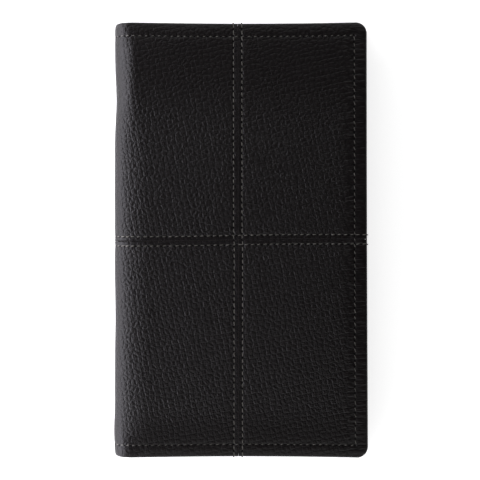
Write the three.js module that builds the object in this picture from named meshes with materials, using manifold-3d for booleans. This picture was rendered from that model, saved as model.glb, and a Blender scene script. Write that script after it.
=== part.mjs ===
// A travel wallet: a black leather bifold for a passport, tickets and cards, lying closed on its back cover.
// Millimetres. X runs from the round spine to the open fore edge, Y up the wallet and Z from the back cover
// to the front cover. The origin lies under the middle of the closed wallet.

import * as THREE from "three";
import { mergeVertices } from "three/addons/utils/BufferGeometryUtils.js";
import Module from "manifold-3d";

// The closed wallet
const WIDTH = 126; // from the spine to the fore edge
const HEIGHT = 217;
const THICKNESS = 17; // over both covers, and across the round spine
const CORNER_RADIUS = 5.5; // of the corners at the fore edge
const EDGE_DRAW_IN = 0.55; // how far the top and bottom edges bow in between spine and fore corner
const EDGE_ROUND = 1.5; // rounding of the turned edges

// Layers, from the outside in
const LEATHER = 1.2; // outer leather
const CORE = 1.4; // board in the covers, foam in the spine
const HEM = 0.7; // outer leather, pared thin where it is turned in
const LINING = 0.5;
const POCKET_LEATHER = 0.7;
const GLUE_LINE = 0.1; // between layers that are glued or sewn together

// Outer case
const HEM_WIDTH = 11; // how far the outer leather is turned in
const LINING_MARGIN = 2.5; // turned leather left showing round the lining and the pockets
const BOARD_MARGIN = 2.5; // from a crease to the board's edge, so that the crease can bend
const JOINT_GAP = 0.5; // play between a cover and the spine at their crease
const SEAM_FROM_FORE_EDGE = 64.7; // the seam that runs up each cover
const SEAM_SLIT = 0.3; // between two panels at their seam
const SEAM_VALLEY_WIDTH = 1.4; // the leather rolls into a seam over this width
const SEAM_VALLEY_DEPTH = 0.7;

// Pockets
const POCKET_MARGIN = 6; // from a crease to the pockets' edges
const TICKET_POCKET_HEIGHT = 158; // of the pockets, from the lining's lower edge
const PASSPORT_POCKET_HEIGHT = 104;
const DOCUMENT_POCKET_HEIGHT = 172;
const THUMB_NOTCH_RADIUS = 11;
const CARD_POCKETS = 4;
const CARD_POCKET_DEPTH = 57; // of the lowest card pocket
const CARD_STEP = 14; // from one card pocket's mouth to the next
const CARD_TUCK = 6; // how far a card pocket reaches under the mouth of the next
const CARD_JOGGLE = 2; // length of the slope where it steps down to get there
const CARD_PLAY = 0.5; // between that slope and the next mouth

// Facets
const CURVE_SEGMENTS = 8; // along a corner or a bowed edge
const EDGE_SEGMENTS = 4; // round a quarter of a turned edge
const SPINE_SEGMENTS = 48; // round a full turn
const INNER_RADIUS_MIN = 0.8; // least corner radius of an inset outline
const OVERCUT = 1; // how far cuts run past what they cut
const WELD = 1e-4;

// Places that follow from the sizes
const SPINE_RADIUS = THICKNESS / 2;
const SPINE_X = SPINE_RADIUS - WIDTH / 2; // axis of the round spine, where the flat of the covers begins
const COVER_WIDTH = WIDTH - SPINE_RADIUS - JOINT_GAP;
const EDGE = LEATHER + CORE + HEM + 2 * GLUE_LINE; // thickness of a turned edge
const ROUND = Math.min(EDGE_ROUND, EDGE / 2 - GLUE_LINE);
const SEAM_X = COVER_WIDTH - SEAM_FROM_FORE_EDGE;
const LINING_BASE = EDGE + GLUE_LINE;
const POCKET_BASE = LINING_BASE + LINING + GLUE_LINE;
const POCKET_RISE = POCKET_LEATHER + GLUE_LINE; // from one layer of pockets to the next
const POCKET_FLOOR = LINING_MARGIN - HEIGHT / 2; // lower edge of the lining and the pockets
const REACH = WIDTH + HEIGHT; // longer than any piece

const wasm = await Module();
wasm.setup();

// A closed three.js geometry as a solid that can be joined and cut.
function solid(geometry) {
  const bare = geometry.clone();
  bare.deleteAttribute("normal");
  bare.deleteAttribute("uv");
  const merged = mergeVertices(bare, WELD);
  const vertProperties = merged.attributes.position.array;
  const triVerts = new Uint32Array(merged.index.array);
  return new wasm.Manifold(new wasm.Mesh({ numProp: 3, vertProperties, triVerts }));
}

function geometryOf(shape) {
  const { vertProperties, triVerts } = shape.getMesh();
  const geometry = new THREE.BufferGeometry();
  geometry.setAttribute("position", new THREE.BufferAttribute(vertProperties, 3));
  geometry.setIndex(new THREE.BufferAttribute(triVerts, 1));
  geometry.computeVertexNormals();
  return geometry;
}

// A block between two corners, for cutting and trimming.
function block(low, high) {
  const size = new THREE.Vector3().subVectors(high, low);
  const middle = new THREE.Vector3().addVectors(low, high).multiplyScalar(0.5);
  const geometry = new THREE.BoxGeometry(size.x, size.y, size.z);
  return solid(geometry.translate(middle.x, middle.y, middle.z));
}

// The half of space that lies beyond x, or below y.
const beyondX = (x) => block(new THREE.Vector3(x, -REACH, -REACH), new THREE.Vector3(REACH, REACH, REACH));
const belowY = (y) => block(new THREE.Vector3(-REACH, -REACH, -REACH), new THREE.Vector3(REACH, y, REACH));

// A flat sheet of the given outline, lying on base.
function sheet(outline, thickness, base) {
  const options = { depth: thickness, bevelEnabled: false, curveSegments: CURVE_SEGMENTS };
  return solid(new THREE.ExtrudeGeometry(outline, options).translate(0, 0, base));
}

// A section drawn in (across, depth), run for a length along Y or along X and centred there.
function runAlongY(section, length) {
  const geometry = new THREE.ExtrudeGeometry(section, { depth: length, bevelEnabled: false });
  return geometry.translate(0, 0, -length / 2).rotateX(Math.PI / 2);
}
const runAlongX = (section, length) => runAlongY(section, length).rotateZ(Math.PI / 2);

// Covers, each drawn in its own frame: x from the crease to the fore edge, z from the outer face inwards

// Outline of a cover, drawn in by inset and carried past the crease by overrun.
function coverOutline(inset, overrun = 0) {
  const fore = COVER_WIDTH - inset;
  const top = HEIGHT / 2 - inset;
  const radius = Math.max(CORNER_RADIUS - inset, INNER_RADIUS_MIN);
  const bowX = (fore - radius) / 2;
  const bowY = top - 2 * EDGE_DRAW_IN;
  const outline = new THREE.Shape();
  outline.moveTo(-overrun, -top);
  outline.lineTo(0, -top);
  outline.quadraticCurveTo(bowX, -bowY, fore - radius, -top);
  outline.absarc(fore - radius, radius - top, radius, -Math.PI / 2, 0);
  outline.absarc(fore - radius, top - radius, radius, 0, Math.PI / 2);
  outline.quadraticCurveTo(bowX, bowY, 0, top);
  outline.lineTo(-overrun, top);
  outline.closePath();
  return outline;
}

// The outer leather of a cover before its seams are cut: round turned edges, with the room for the board
// between the face and the hems, open to the inside and to the spine.
function coverShell() {
  const overrun = ROUND + OVERCUT;
  const nose = new THREE.ExtrudeGeometry(coverOutline(0, overrun), {
    depth: EDGE - 2 * ROUND,
    bevelThickness: ROUND,
    bevelSize: ROUND,
    bevelOffset: -ROUND,
    bevelSegments: EDGE_SEGMENTS,
    curveSegments: CURVE_SEGMENTS,
  });
  const room = sheet(coverOutline(LEATHER, overrun + OVERCUT), EDGE - LEATHER - HEM, LEATHER);
  const inside = coverOutline(HEM_WIDTH, overrun + OVERCUT);
  const window = sheet(inside, HEM + OVERCUT, EDGE - HEM - GLUE_LINE);
  return solid(nose.translate(0, 0, ROUND)).subtract(room).subtract(window).intersect(beyondX(0));
}

// Section of a seam: a slit through the leather, with a valley where both panels roll into it.
function seamSection() {
  const slit = SEAM_SLIT / 2;
  const lip = SEAM_VALLEY_WIDTH / 2;
  const section = new THREE.Shape();
  section.moveTo(-lip, -OVERCUT);
  section.lineTo(lip, -OVERCUT);
  section.lineTo(lip, 0);
  section.lineTo(slit, SEAM_VALLEY_DEPTH);
  section.lineTo(slit, EDGE + OVERCUT);
  section.lineTo(-slit, EDGE + OVERCUT);
  section.lineTo(-slit, SEAM_VALLEY_DEPTH);
  section.lineTo(-lip, 0);
  section.closePath();
  return section;
}

// The four outer panels of a cover, by name.
function coverPanels() {
  const uprightSeam = solid(runAlongY(seamSection(), REACH).translate(SEAM_X, 0, 0));
  const crossSeam = solid(runAlongX(seamSection(), 2 * REACH));
  const sewn = coverShell().subtract(uprightSeam).subtract(crossSeam);
  const fore = sewn.intersect(beyondX(SEAM_X));
  const spineSide = sewn.subtract(beyondX(SEAM_X));
  return {
    upper_fore_panel: geometryOf(fore.subtract(belowY(0))),
    lower_fore_panel: geometryOf(fore.intersect(belowY(0))),
    upper_spine_panel: geometryOf(spineSide.subtract(belowY(0))),
    lower_spine_panel: geometryOf(spineSide.intersect(belowY(0))),
  };
}

function coverBoard() {
  const board = sheet(coverOutline(LEATHER + GLUE_LINE), CORE, LEATHER + GLUE_LINE);
  return geometryOf(board.intersect(beyondX(BOARD_MARGIN)));
}

const coverLining = () => geometryOf(sheet(coverOutline(LINING_MARGIN), LINING, LINING_BASE));

// A sheet pocket of the given height, sewn in at the fore edge and the bottom.
function sheetPocket(height, base) {
  const pocket = sheet(coverOutline(LINING_MARGIN), POCKET_LEATHER, base);
  return pocket.intersect(beyondX(POCKET_MARGIN)).intersect(belowY(POCKET_FLOOR + height));
}

const ticketPocket = () => geometryOf(sheetPocket(TICKET_POCKET_HEIGHT, POCKET_BASE));
const documentPocket = () => geometryOf(sheetPocket(DOCUMENT_POCKET_HEIGHT, POCKET_BASE));

// The passport pocket lies on the ticket pocket and has a half-round thumb notch in its mouth.
function passportPocket() {
  const middle = (POCKET_MARGIN + COVER_WIDTH - LINING_MARGIN) / 2;
  const notch = new THREE.CylinderGeometry(THUMB_NOTCH_RADIUS, THUMB_NOTCH_RADIUS, REACH, SPINE_SEGMENTS);
  notch.rotateX(Math.PI / 2).translate(middle, POCKET_FLOOR + PASSPORT_POCKET_HEIGHT, 0);
  const pocket = sheetPocket(PASSPORT_POCKET_HEIGHT, POCKET_BASE + POCKET_RISE);
  return geometryOf(pocket.subtract(solid(notch)));
}

// Section of a card pocket: the mouth stands off the document pocket by one layer, and below the joggle the
// pocket lies on it, down to end.
function cardPocketSection(mouth, joggle, end) {
  const low = POCKET_BASE + POCKET_RISE;
  const high = low + POCKET_RISE;
  const section = new THREE.Shape();
  section.moveTo(mouth, high);
  section.lineTo(joggle + CARD_JOGGLE, high);
  section.lineTo(joggle, low);
  section.lineTo(end, low);
  section.lineTo(end, low + POCKET_LEATHER);
  section.lineTo(joggle, low + POCKET_LEATHER);
  section.lineTo(joggle + CARD_JOGGLE, high + POCKET_LEATHER);
  section.lineTo(mouth, high + POCKET_LEATHER);
  section.closePath();
  return section;
}

// Stepped card pockets from the top one down: each tucks under the mouth of the next, and the lowest runs
// on to the bottom hem.
function cardPockets() {
  const outline = sheet(coverOutline(LINING_MARGIN), REACH, 0).intersect(beyondX(POCKET_MARGIN));
  const lowestMouth = POCKET_FLOOR + CARD_POCKET_DEPTH;
  const pockets = [];
  for (let above = CARD_POCKETS - 1; above >= 0; above -= 1) {
    const mouth = lowestMouth + above * CARD_STEP;
    const tuckEnd = mouth - CARD_STEP - CARD_TUCK;
    const lowest = above === 0;
    const joggle = lowest ? mouth - CARD_TUCK - CARD_PLAY - CARD_JOGGLE : mouth - CARD_STEP + CARD_PLAY;
    const section = cardPocketSection(mouth, joggle, lowest ? POCKET_FLOOR - OVERCUT : tuckEnd);
    pockets.push(geometryOf(solid(runAlongX(section, 2 * REACH)).intersect(outline)));
  }
  return pockets;
}

// Spine, drawn about its own axis, which runs along Y: only the half away from the covers is kept

// Section of the outer leather of the spine from the cross seam up, with the top hem turned in over the foam.
function spineLeatherSection() {
  const top = HEIGHT / 2;
  const inside = SPINE_RADIUS - EDGE;
  const section = new THREE.Shape();
  section.moveTo(SPINE_RADIUS - LEATHER, SEAM_SLIT / 2);
  section.lineTo(SPINE_RADIUS - SEAM_VALLEY_DEPTH, SEAM_SLIT / 2);
  section.lineTo(SPINE_RADIUS, SEAM_VALLEY_WIDTH / 2);
  section.absarc(SPINE_RADIUS - ROUND, top - ROUND, ROUND, 0, Math.PI / 2);
  section.absarc(inside + ROUND, top - ROUND, ROUND, Math.PI / 2, Math.PI);
  section.lineTo(inside, top - HEM_WIDTH);
  section.lineTo(inside + HEM, top - HEM_WIDTH);
  section.lineTo(inside + HEM, top - LEATHER);
  section.lineTo(SPINE_RADIUS - LEATHER, top - LEATHER);
  section.closePath();
  return section;
}

// Section of an inner layer of the spine, between two radii.
function spineLayerSection(inner, thickness, margin) {
  const top = HEIGHT / 2 - margin;
  const section = new THREE.Shape();
  section.moveTo(inner, -top);
  section.lineTo(inner + thickness, -top);
  section.lineTo(inner + thickness, top);
  section.lineTo(inner, top);
  section.closePath();
  return section;
}

// A section turned round the spine's axis.
function spineTurning(section) {
  const turned = solid(new THREE.LatheGeometry(section.getPoints(EDGE_SEGMENTS), SPINE_SEGMENTS));
  return geometryOf(turned.subtract(beyondX(0)));
}

const spineLeather = () => spineTurning(spineLeatherSection());

function spineFoam() {
  const margin = LEATHER + GLUE_LINE;
  return spineTurning(spineLayerSection(SPINE_RADIUS - margin - CORE, CORE, margin));
}

const spineLining = () =>
  spineTurning(spineLayerSection(SPINE_RADIUS - LINING_BASE - LINING, LINING, LINING_MARGIN));

// Assembly

const MATERIALS = {
  leather: { color: 0x1d1d1f, roughness: 0.5, metalness: 0 },
  pocketLeather: { color: 0x1a1a1b, roughness: 0.55, metalness: 0 },
  lining: { color: 0x2b2b2e, roughness: 0.9, metalness: 0 },
  board: { color: 0x8d8272, roughness: 0.95, metalness: 0 },
  foam: { color: 0xcfcabf, roughness: 0.95, metalness: 0 },
};

function addPiece(group, name, geometry, material) {
  const piece = new THREE.Mesh(geometry, new THREE.MeshStandardMaterial(MATERIALS[material]));
  piece.name = name;
  group.add(piece);
  return piece;
}

// The outer panels, board and lining that both covers share.
function addCover(group, side) {
  for (const [name, geometry] of Object.entries(coverPanels())) {
    addPiece(group, `${side}_${name}`, geometry, "leather");
  }
  addPiece(group, `${side}_board`, coverBoard(), "board");
  addPiece(group, `${side}_lining`, coverLining(), "lining");
}

function makeBackCover() {
  const cover = new THREE.Group();
  cover.position.set(SPINE_X + JOINT_GAP, 0, 0);
  addCover(cover, "back");
  addPiece(cover, "ticket_pocket", ticketPocket(), "pocketLeather");
  addPiece(cover, "passport_pocket", passportPocket(), "pocketLeather");
  return cover;
}

// The front cover mirrors the back cover across the middle of the closed wallet.
function makeFrontCover() {
  const cover = new THREE.Group();
  cover.position.set(SPINE_X + JOINT_GAP, 0, THICKNESS);
  cover.scale.z = -1;
  addCover(cover, "front");
  addPiece(cover, "document_pocket", documentPocket(), "pocketLeather");
  cardPockets().forEach((geometry, i) => addPiece(cover, `card_pocket_${i + 1}`, geometry, "pocketLeather"));
  return cover;
}

function makeSpine() {
  const spine = new THREE.Group();
  spine.position.set(SPINE_X, 0, SPINE_RADIUS);
  addPiece(spine, "spine_upper_leather", spineLeather(), "leather");
  addPiece(spine, "spine_lower_leather", spineLeather(), "leather").rotation.x = Math.PI;
  addPiece(spine, "spine_foam", spineFoam(), "foam");
  addPiece(spine, "spine_lining", spineLining(), "lining");
  return spine;
}

const travelWallet = new THREE.Group();
travelWallet.add(makeBackCover(), makeSpine(), makeFrontCover());

export default travelWallet;
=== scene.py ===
import math
from collections import namedtuple

import bmesh
import bpy
import numpy as np
from bpy.props import FloatProperty, FloatVectorProperty, IntProperty, PointerProperty
from bpy.types import Operator, Panel, PropertyGroup
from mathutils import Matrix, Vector


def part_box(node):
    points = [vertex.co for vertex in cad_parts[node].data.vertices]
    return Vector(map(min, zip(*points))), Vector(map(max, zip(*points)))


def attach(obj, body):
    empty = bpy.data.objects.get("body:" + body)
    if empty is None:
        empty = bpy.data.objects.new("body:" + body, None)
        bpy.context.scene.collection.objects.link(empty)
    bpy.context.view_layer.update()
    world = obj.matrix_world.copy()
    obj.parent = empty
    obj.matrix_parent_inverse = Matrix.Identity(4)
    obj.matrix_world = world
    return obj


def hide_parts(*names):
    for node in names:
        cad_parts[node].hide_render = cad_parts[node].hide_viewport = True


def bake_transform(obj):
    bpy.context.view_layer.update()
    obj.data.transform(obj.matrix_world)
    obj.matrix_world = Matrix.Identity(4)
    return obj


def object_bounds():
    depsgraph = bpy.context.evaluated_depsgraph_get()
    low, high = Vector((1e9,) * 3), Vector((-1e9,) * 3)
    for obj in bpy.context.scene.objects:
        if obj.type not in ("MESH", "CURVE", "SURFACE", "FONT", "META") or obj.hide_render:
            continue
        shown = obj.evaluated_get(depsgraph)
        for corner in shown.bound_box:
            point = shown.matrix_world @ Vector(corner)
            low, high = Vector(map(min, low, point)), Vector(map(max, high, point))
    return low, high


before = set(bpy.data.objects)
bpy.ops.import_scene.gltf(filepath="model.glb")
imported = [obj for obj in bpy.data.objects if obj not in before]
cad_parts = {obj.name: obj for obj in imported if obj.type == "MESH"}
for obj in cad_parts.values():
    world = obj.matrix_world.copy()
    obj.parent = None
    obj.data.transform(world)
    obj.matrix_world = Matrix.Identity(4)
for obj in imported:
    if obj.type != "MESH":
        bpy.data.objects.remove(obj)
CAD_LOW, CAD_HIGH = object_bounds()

bl_info = {
    "name": "Travel Wallet",
    "version": (1, 0, 0),
    "blender": (4, 5, 0),
    "location": "View3D > Sidebar > Wallet",
    "description": "Dresses the frame of a leather travel wallet with leather, lining, pockets and stitching",
    "category": "Object",
}

MM = 0.001
SIDES = ("back", "front")
ROWS = ("upper", "lower")

# The side of each pocket. The pockets of a side lie on each other in this order.
POCKETS = {"ticket_pocket": "back", "passport_pocket": "back", "document_pocket": "front"}
POCKETS.update({f"card_pocket_{number}": "front" for number in range(1, 5)})

# Places on the wallet, from its frame. Pattern coordinates lay the outer leather out flat: x is the wallet's own
# x on the covers, and runs on along the arc round the spine to MIDDLE_X, half way round.
FORE_LOW, FORE_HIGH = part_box("front_upper_fore_panel")
SPINE_LOW, SPINE_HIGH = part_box("front_upper_spine_panel")
LINING_LOW, LINING_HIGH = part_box("back_lining")
FOAM_LOW, FOAM_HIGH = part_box("spine_foam")
THICKNESS = CAD_HIGH.z
SPINE_RADIUS = THICKNESS / 2
SPINE_X = CAD_LOW.x + SPINE_RADIUS
CREASE_X = SPINE_LOW.x
MIDDLE_X = SPINE_X - math.pi / 2 * SPINE_RADIUS
SEAM_X = (SPINE_HIGH.x + FORE_LOW.x) / 2
FORE_X = CAD_HIGH.x
TOP_Y = CAD_HIGH.y
EDGE = FORE_HIGH.z - FORE_LOW.z
LINING_FACE = LINING_HIGH.z
LINING_MARGIN = FORE_X - LINING_HIGH.x

# Card pockets step down from mouth to mouth, each tucked under the next. The joggle, which steps a pocket up to its
# mouth, and the play beside it don't show in the frame's boxes.
CARD_LOW, CARD_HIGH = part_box("card_pocket_1")
CARD_STEP = CARD_HIGH.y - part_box("card_pocket_2")[1].y
CARD_TUCK = CARD_HIGH.y - CARD_STEP - CARD_LOW.y
CARD_JOGGLE = 2 * MM
CARD_PLAY = 0.5 * MM

# A row of stitches runs along x or along y, at a fixed place on the other axis, from low to high. Its lay is the
# height of the puckers beside it, the length and width of its stitches as shares of a plain one, and their slant.
Stitching = namedtuple("Stitching", "runs at low high pitch lay")
Lay = namedtuple("Lay", "pucker long wide slant")
FORE_LAY = Lay(0.2 * MM, 1.05, 0.68, -0.2)
TOP_LAY = Lay(0.035 * MM, 0.66, 0.8, 0.15)
BOTTOM_LAY = Lay(0.035 * MM, 0.72, 0.8, 0.15)
CROSS_LAY = Lay(0.03 * MM, 0.92, 1.0, 0.06)
UPRIGHT_LAY = Lay(0.03 * MM, 1.06, 1.0, 0.0)
INNER_LAY = Lay(0.0, 1.0, 1.0, 0.0)

# A needle hole between two stitches, shown by a dark disc of painted shade: how far it sits off the row, and its
# sizes as shares.
HOLE_SHIFT = 0.2 * MM
HOLE_SIZES = (1.5, 1.0, 0.0)

# Dents and bulges along the spine, in millimetres: place on y, height and reach.
SPINE_DENTS = ((70, -0.8, 13), (-40, -0.3, 18), (-96, 0.45, 9))

# Reaches of the mesh lines on a turned-in hem, the room that a rounded corner's mesh takes beyond its radius, the
# step over which a direction on a surface is taken, and where the pattern of the inner pieces' grain starts.
HEM_REACHES = (0.8 * MM, 2.2 * MM, 3.4 * MM)
CORNER_ROOM = 2 * MM
TINY = 0.05 * MM
GRAIN_START = {"back": 0.31, "front": 0.05}

# The lamps' sizes, places and aims.
LAMPS = {
    "side": ((0.8, 0.3), (-0.36, 0.0, 0.16), (0.0, 0.0, 0.1)),
    "head": ((0.6, 0.2), (-0.05, 0.34, 0.3), (-0.05, 0.0, 0.0)),
    "foot": ((0.8, 0.4), (-0.05, -0.36, 0.3), (-0.05, 0.0, 0.0)),
}


def length(label, text, millimetres):
    """A size in metres, given in millimetres."""
    return FloatProperty(name=label, description=text, default=millimetres * MM, unit="LENGTH", precision=5)


def share(label, text, value):
    """A number without a unit."""
    return FloatProperty(name=label, description=text, default=value, soft_min=0.0, soft_max=1.0)


def colour(label, text, value):
    """A linear colour."""
    return FloatVectorProperty(name=label, description=text, default=value, subtype="COLOR", min=0.0, max=1.0)


def power(label, text, value):
    """The power of a light."""
    return FloatProperty(name=label, description=text, default=value, unit="POWER")


class LeatherSettings(PropertyGroup):
    """Sizes and finish of the outer leather."""

    colour: colour("Colour", "Dyed colour of the leather", (0.0040, 0.0028, 0.0028))
    roughness: share("Roughness", "Roughness of the grain's tops", 0.34)
    thickness: length("Thickness", "Thickness of the outer leather", 1.2)
    hem: length("Hem", "Thickness of the leather where it is turned in", 0.7)
    edge_round: length("Edge round", "Rounding of the turned edges", 1.5)
    corner_radius: length("Corner radius", "Radius of the corners at the fore edge", 5.5)
    draw_in: length("Draw in", "How far the top and bottom edges bow in", 0.62)
    fore_slant: length("Fore slant", "How far the fore edge leans at the corners", 0.33)
    cross_drop: length("Cross drop", "How far the cross seam sits low at the spine", 0.65)
    cross_rise: length("Cross rise", "How far it climbs from there to the fore edge", 1.05)
    seam_shift: length("Seam shift", "How far the upright seam sits towards the fore edge", 0.28)
    seam_roll: length("Seam roll", "Radius of the leather where it rolls into the upright seam", 0.22)
    cross_roll: length("Cross roll", "Radius of the leather where it rolls into the cross seam", 0.35)
    channel_depth: length("Channel depth", "Depth of the channel that a row of stitches pulls", 0.05)
    channel_width: length("Channel width", "Half width of that channel", 0.8)
    hole_depth: length("Hole depth", "Depth of the dent at a needle hole", 0.14)
    hole_width: length("Hole width", "Half width of that dent", 0.42)
    pull_depth: length("Pull depth", "How far the leather is pulled down beside a row", 0.13)
    pull_reach: length("Pull reach", "How far from the row that pull fades", 1.8)
    pucker_reach: length("Pucker reach", "How far puckers run from a row", 4.5)
    swell: length("Swell", "Height of the soft swells in the faces", 0.16)
    shoulder: length("Shoulder", "How far the covers fall away towards the spine", 0.68)
    shoulder_reach: length("Shoulder reach", "Width of that fall", 7.8)
    margin_fall: length("Margin fall", "How far the margins fall away to the turned edges", 0.5)
    margin_reach: length("Margin reach", "Width of that fall", 5.0)
    seam_shade: length("Seam shade", "Width of the dull line along a seam", 0.65)
    grain_size: length("Grain size", "Width of a pebble of the grain", 2.7)
    grain_depth: length("Grain depth", "Depth of the valleys of the grain", 0.16)
    mesh_step: length("Mesh step", "Widest spacing of the mesh on the faces", 0.45)


class ThreadSettings(PropertyGroup):
    """Sizes and colour of the stitching."""

    colour: colour("Colour", "Colour of the thread", (0.142, 0.138, 0.121))
    # The pale colour is painted light: it stands in for the side light that the thread catches round the spine.
    pale_colour: colour("Pale colour", "Thread round the spine, where it is clean", (0.24, 0.23, 0.205))
    width: length("Width", "Thickness of the thread", 0.45)
    seam_pitch: length("Seam pitch", "Length of one stitch along the seams", 3.12)
    edge_pitch: length("Edge pitch", "Length of one stitch along the edges", 3.22)
    filled: share("Filled", "Share of a stitch's length that the thread shows", 0.68)
    # The dark discs at the needle holes are painted shade, standing in for the shade inside the holes.
    hole: length("Hole", "Half width of the dark needle holes between stitches", 0.3)
    slant: FloatProperty(name="Slant", description="Turn of a stitch from its row", default=0.10, unit="ROTATION")
    seam_offset: length("Seam offset", "From the upright seam to a row beside it", 2.1)
    cross_offset: length("Cross offset", "From the cross seam to a row beside it", 2.33)
    edge_inset: length("Edge inset", "From the fore or bottom edge to the row along it", 6.3)
    top_inset: length("Top inset", "From the top edge to the row along it", 6.65)
    pocket_inset: length("Pocket inset", "From a pocket's spine edge to its row", 2.2)
    seed: IntProperty(name="Seed", description="Seed of the unevenness of the stitches", default=7)


class InsideSettings(PropertyGroup):
    """Finish of the lining, the pockets and what they hide."""

    pocket_colour: colour("Pocket colour", "Leather of the pockets", (0.019, 0.0185, 0.0185))
    pocket_roughness: share("Pocket roughness", "Roughness of the pocket leather", 0.5)
    pocket_grain: length("Pocket grain", "Width of a pebble of the pocket leather", 0.62)
    pocket_depth: length("Pocket depth", "Depth of the valleys of that grain", 0.05)
    lining_colour: colour("Lining colour", "Woven lining", (0.022, 0.022, 0.026))
    weave: length("Weave", "Spacing of the twill's ribs", 0.7)
    board_colour: colour("Board colour", "Board that stiffens the covers", (0.27, 0.23, 0.17))
    foam_colour: colour("Foam colour", "Foam strip in the spine", (0.6, 0.58, 0.52))
    mouth_crease: length("Mouth crease", "From a pocket's mouth to the line creased along it", 1.7)
    notch_radius: length("Notch radius", "Radius of the thumb notch in the passport pocket", 11.0)
    edge_round: length("Edge round", "Rounding of the pockets' cut edges", 0.2)
    mesh_step: length("Mesh step", "Spacing of the mesh on the pockets", 1.0)


class StageSettings(PropertyGroup):
    """Camera, floor and light."""

    camera_height: length("Camera height", "From the front cover to the camera", 690.0)
    view_width: length("View width", "Width of the view at the front cover", 238.7)
    camera_x: length("Camera x", "Place of the camera across the wallet", -0.4)
    floor_colour: colour("Floor colour", "Pale floor", (0.93, 0.93, 0.93))
    floor_lift: share("Floor lift", "Light that the floor adds where it is seen near the wallet", 0.74)
    lift_near: length("Lift near", "From the wallet's middle to where that light starts to grow", 100.0)
    lift_far: length("Lift far", "From the wallet's middle to where it has grown to white", 600.0)
    backdrop_low: share("Backdrop low", "Slope of a ray up to which it sees the white backdrop", 0.25)
    backdrop_high: share("Backdrop high", "Slope from which it sees none of it", 0.5)
    side_power: power("Side light", "Low soft light at the spine", 4.55)
    side_colour: colour("Side light colour", "Colour of the light at the spine", (0.92, 0.90, 1.0))
    head_power: power("Head light", "Soft light beyond the top edge", 0.5)
    foot_power: power("Foot light", "Soft light before the bottom edge", 1.0)
    sky_low: share("Low sky", "Strength of the light all round near the floor", 0.5)
    sky_high: share("High sky", "Strength of the light overhead", 0.0)


class WalletSettings(PropertyGroup):
    """All that a user may change."""

    leather: PointerProperty(type=LeatherSettings)
    thread: PointerProperty(type=ThreadSettings)
    inside: PointerProperty(type=InsideSettings)
    stage: PointerProperty(type=StageSettings)


def settings():
    """The wallet's settings in the open scene."""
    return bpy.context.scene.travel_wallet


# Smooth unevenness

def smooth_step(t):
    """A soft rise from 0 to 1 as t goes from 0 to 1."""
    t = np.clip(t, 0.0, 1.0)
    return t * t * (3 - 2 * t)


def hump(distance, width):
    """A soft hump of height 1 round distance 0."""
    return np.exp(-((distance / width) ** 2))


def value_noise(x, y, cell, seed):
    """Smooth noise from -1 to 1 over x and y, one random height for each cell."""
    size = 64
    table = np.random.RandomState(seed).uniform(-1.0, 1.0, (size, size))
    gx, gy = np.asarray(x) / cell, np.asarray(y) / cell
    ix, iy = np.floor(gx).astype(int), np.floor(gy).astype(int)
    fx, fy = smooth_step(gx - ix), smooth_step(gy - iy)
    left, right, low, high = ix % size, (ix + 1) % size, iy % size, (iy + 1) % size
    one = table[left, low] * (1 - fx) + table[right, low] * fx
    other = table[left, high] * (1 - fx) + table[right, high] * fx
    return one * (1 - fy) + other * fy


# Shape of the outer leather

def edge_rows(low_x, lays):
    """The rows along the fore, top and bottom edges of a cover. The last two start at low_x."""
    thread = settings().thread
    edge_x = FORE_X - thread.edge_inset
    top, bottom = TOP_Y - thread.top_inset, thread.edge_inset - TOP_Y
    fore, upper, lower = lays
    return [
        Stitching("y", edge_x, bottom, top, thread.edge_pitch, fore),
        Stitching("x", top, low_x, edge_x, thread.edge_pitch, upper),
        Stitching("x", bottom, low_x, edge_x, thread.edge_pitch, lower),
    ]


def stitch_rows():
    """Rows of stitches in the outer leather of one cover and its half of the spine, in pattern coordinates."""
    thread = settings().thread
    rows = edge_rows(MIDDLE_X, (FORE_LAY, TOP_LAY, BOTTOM_LAY))
    for sign in (-1, 1):
        cross_y, seam_x = sign * thread.cross_offset, SEAM_X + sign * thread.seam_offset
        rows.append(Stitching("x", cross_y, MIDDLE_X, FORE_X, thread.seam_pitch, CROSS_LAY))
        rows.append(Stitching("y", seam_x, -TOP_Y, TOP_Y, thread.seam_pitch, UPRIGHT_LAY))
    return rows


def inner_rows(side):
    """Rows of stitches inside one cover: the edge rows come through, and one closes the pockets at the spine."""
    thread = settings().thread
    rows = edge_rows(CREASE_X, [INNER_LAY] * 3)
    pocket_low, pocket_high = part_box("ticket_pocket" if side == "back" else "document_pocket")
    low, high = rows[0].low + thread.edge_pitch / 2, pocket_high.y - thread.pocket_inset
    rows.append(Stitching("y", pocket_low.x + thread.pocket_inset, low, high, thread.edge_pitch, INNER_LAY))
    return rows


def spine_form(x, y):
    """Outward departure of the spine from a half circle: the covers fall away to it, and it is flattened near the
    top, dented and bulged along its height."""
    leather = settings().leather
    bulge, flattening, ridge = 0.5 * MM, 0.35 * MM, 0.3 * MM
    ridge_turn, ridge_width = 0.7, 0.3 * math.sqrt(2)
    end_reach, creased_from, creased_reach, creased_most = 14 * MM, 40 * MM, 40 * MM, 0.75
    turn = np.clip((SPINE_X - x) / SPINE_RADIUS, 0.0, math.pi / 2)
    free = smooth_step((TOP_Y - np.abs(y)) / end_reach)
    creased = smooth_step((y - creased_from) / creased_reach)
    sharp = 1 - creased_most * creased
    past = 1 - (x - CREASE_X) / (leather.shoulder_reach * sharp)
    on_spine, on_cover = (2 * past - 1) * np.cos(turn) ** 2, np.maximum(past, 0.0) ** 2
    fall = leather.shoulder * np.where(x < CREASE_X, on_spine, on_cover)
    form = bulge * np.sin(turn) ** 2 - fall * free * sharp
    form = form - flattening * free * creased * np.sin(2 * turn)
    form = form + ridge * hump(turn - ridge_turn, ridge_width)
    for level, height, reach in SPINE_DENTS:
        form = form + height * MM * hump(y / MM - level, reach) * np.sin(turn) ** 2
    return form


def stitch_count(row):
    """How many stitches fill a row."""
    return max(1, round((row.high - row.low) / row.pitch))


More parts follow.
